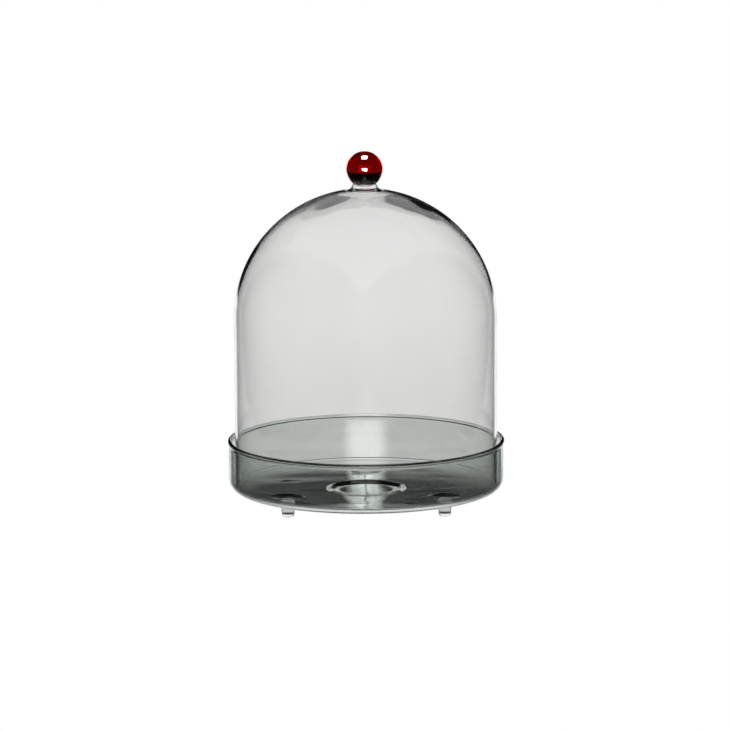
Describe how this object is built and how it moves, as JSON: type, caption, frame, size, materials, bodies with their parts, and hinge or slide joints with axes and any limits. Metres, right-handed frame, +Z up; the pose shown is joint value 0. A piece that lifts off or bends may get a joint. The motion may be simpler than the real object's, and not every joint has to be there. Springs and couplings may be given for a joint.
{
  "type": "glass cloche",
  "caption": "Glass cloche for a plant or display: half-round-topped clear dome with a red glass ball handle, standing loose in a shallow smoked glass tray on small clear feet.",
  "frame": {"origin": "on the axis of turning, at the level of the feet's flat bottoms", "axes": "+Z up along the axis of turning; -Y is the front, midway between the two front feet; +X to the viewer's right"},
  "size_m": [0.2, 0.2, 0.259],
  "materials": {
    "clear_glass": "clear, fire-polished",
    "stem_glass": "clear, fire-polished",
    "foot_glass": "clear, fire-polished",
    "smoked_glass": "grey-green smoked, fire-polished",
    "red_glass": "deep red, polished"
  },
  "bodies": {
    "base": {"tray": "smoked_glass", "foot_front_left": "foot_glass", "foot_front_right": "foot_glass", "foot_back": "foot_glass"},
    "cloche": {"dome": "clear_glass", "stem": "stem_glass", "knob": "red_glass"}
  },
  "joints": [
    {"name": "dome_lift", "type": "slide", "parent": "base", "child": "cloche", "axis": [0, 0, 1], "range_m": [0, 0.24]}
  ]
}
